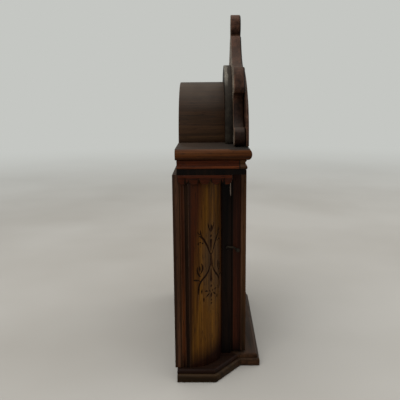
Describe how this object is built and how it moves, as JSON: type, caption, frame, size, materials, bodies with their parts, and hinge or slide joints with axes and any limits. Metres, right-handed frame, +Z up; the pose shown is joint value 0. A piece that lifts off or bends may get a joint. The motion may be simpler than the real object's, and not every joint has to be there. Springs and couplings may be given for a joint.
{
  "type": "gingerbread mantel clock",
  "caption": "Carved wood mantel clock with barrel hood, fretted crest, quarter-round sides, canted base and an arched glazed door over dial and pendulum.",
  "frame": {"origin": "centre of the bounding box on the plane that the base stands on", "axes": "+Z up to the crest, -Y out of the clock's front, X across its width"},
  "size_m": [0.379, 0.127, 0.535],
  "materials": {
    "walnut": "aged satin walnut",
    "dark_walnut": "darkened walnut under old varnish",
    "red_walnut": "reddish varnished moulding",
    "golden_veneer": "golden-brown varnished veneer",
    "pine": "bare aged pine",
    "brass": "dull old brass",
    "steel": "grey drawn steel",
    "blued_steel": "blued steel",
    "cast_iron": "blackened iron",
    "dial_paint": "cream painted zinc",
    "glass": "clear old glass"
  },
  "bodies": {
    "case": {"base_board": "dark_walnut", "base_top": "walnut", "backboard": "pine", "hood_back": "pine", "stile_left": "walnut", "stile_right": "walnut", "side_panel_left": "golden_veneer", "side_panel_right": "golden_veneer", "case_front": "dark_walnut", "apron_left": "dark_walnut", "apron_right": "dark_walnut", "frieze_left": "dark_walnut", "frieze_right": "dark_walnut", "cornice_left": "red_walnut", "cornice_right": "red_walnut", "hood": "walnut", "arch_board": "dark_walnut", "crest": "dark_walnut", "crest_overlay_left": "walnut", "crest_overlay_right": "walnut", "dial": "dial_paint", "dial_ring": "brass", "movement_front_plate": "brass", "movement_back_plate": "brass", "pillar_1": "brass", "pillar_2": "brass", "pillar_3": "brass", "pillar_4": "brass", "time_mainspring": "steel", "strike_mainspring": "steel", "escape_wheel": "brass", "gong_coil": "blued_steel", "gong_post": "cast_iron", "hinge_pin_lower": "brass", "hinge_pin_upper": "brass", "catch_pin": "brass"},
    "door": {"door_frame": "dark_walnut", "door_glass": "glass", "latch_screw": "brass"},
    "latch": {"latch_hook": "brass"},
    "minute": {"centre_arbor": "steel", "minute_hand": "blued_steel", "hand_collet": "brass"},
    "motion": {"minute_wheel": "brass"},
    "hour": {"hour_wheel": "brass", "hour_hand": "blued_steel"},
    "verge_body": {"verge": "steel"},
    "pendulum": {"pendulum_rod": "steel", "pendulum_bob": "brass"},
    "hammer": {"strike_hammer": "steel"},
    "time_winder": {"time_arbor": "steel"},
    "strike_winder": {"strike_arbor": "steel"}
  },
  "joints": [
    {"name": "door_swing", "type": "hinge", "parent": "case", "child": "door", "pos_m": [0.1285, -0.0345, 0], "axis": [0, 0, 1], "range_deg": [0, 100]},
    {"name": "latch_swing", "type": "hinge", "parent": "door", "child": "latch", "pos_m": [-0.1353, -0.029, 0.184], "axis": [1, 0, 0], "range_deg": [-14, 95]},
    {"name": "minute_turn", "type": "hinge", "parent": "case", "child": "minute", "pos_m": [0, 0, 0.34], "axis": [0, 1, 0], "continuous": true},
    {"name": "motion_turn", "type": "hinge", "parent": "case", "child": "motion", "pos_m": [0, 0, 0.355], "axis": [0, 1, 0], "continuous": true},
    {"name": "hour_turn", "type": "hinge", "parent": "case", "child": "hour", "pos_m": [0, 0, 0.34], "axis": [0, 1, 0], "continuous": true},
    {"name": "pendulum_swing", "type": "hinge", "parent": "case", "child": "pendulum", "pos_m": [0, 0.0055, 0.32], "axis": [0, 1, 0], "range_deg": [-4, 4]},
    {"name": "verge_rock", "type": "hinge", "parent": "case", "child": "verge_body", "pos_m": [0, 0.0055, 0.32], "axis": [0, 1, 0], "range_deg": [-4, 4]},
    {"name": "hammer_lift", "type": "hinge", "parent": "case", "child": "hammer", "pos_m": [0.036, 0.042, 0.29], "axis": [0, 1, 0], "range_deg": [-8, 0.2]},
    {"name": "time_winding", "type": "hinge", "parent": "case", "child": "time_winder", "pos_m": [0.026, 0, 0.32], "axis": [0, 1, 0], "continuous": true},
    {"name": "strike_winding", "type": "hinge", "parent": "case", "child": "strike_winder", "pos_m": [-0.026, 0, 0.32], "axis": [0, 1, 0], "continuous": true}
  ],
  "couplings": [
    {"joint": "motion_turn", "follows": "minute_turn", "ratio": -0.33333},
    {"joint": "hour_turn", "follows": "minute_turn", "ratio": 0.083333},
    {"joint": "verge_rock", "follows": "pendulum_swing", "ratio": 1}
  ]
}
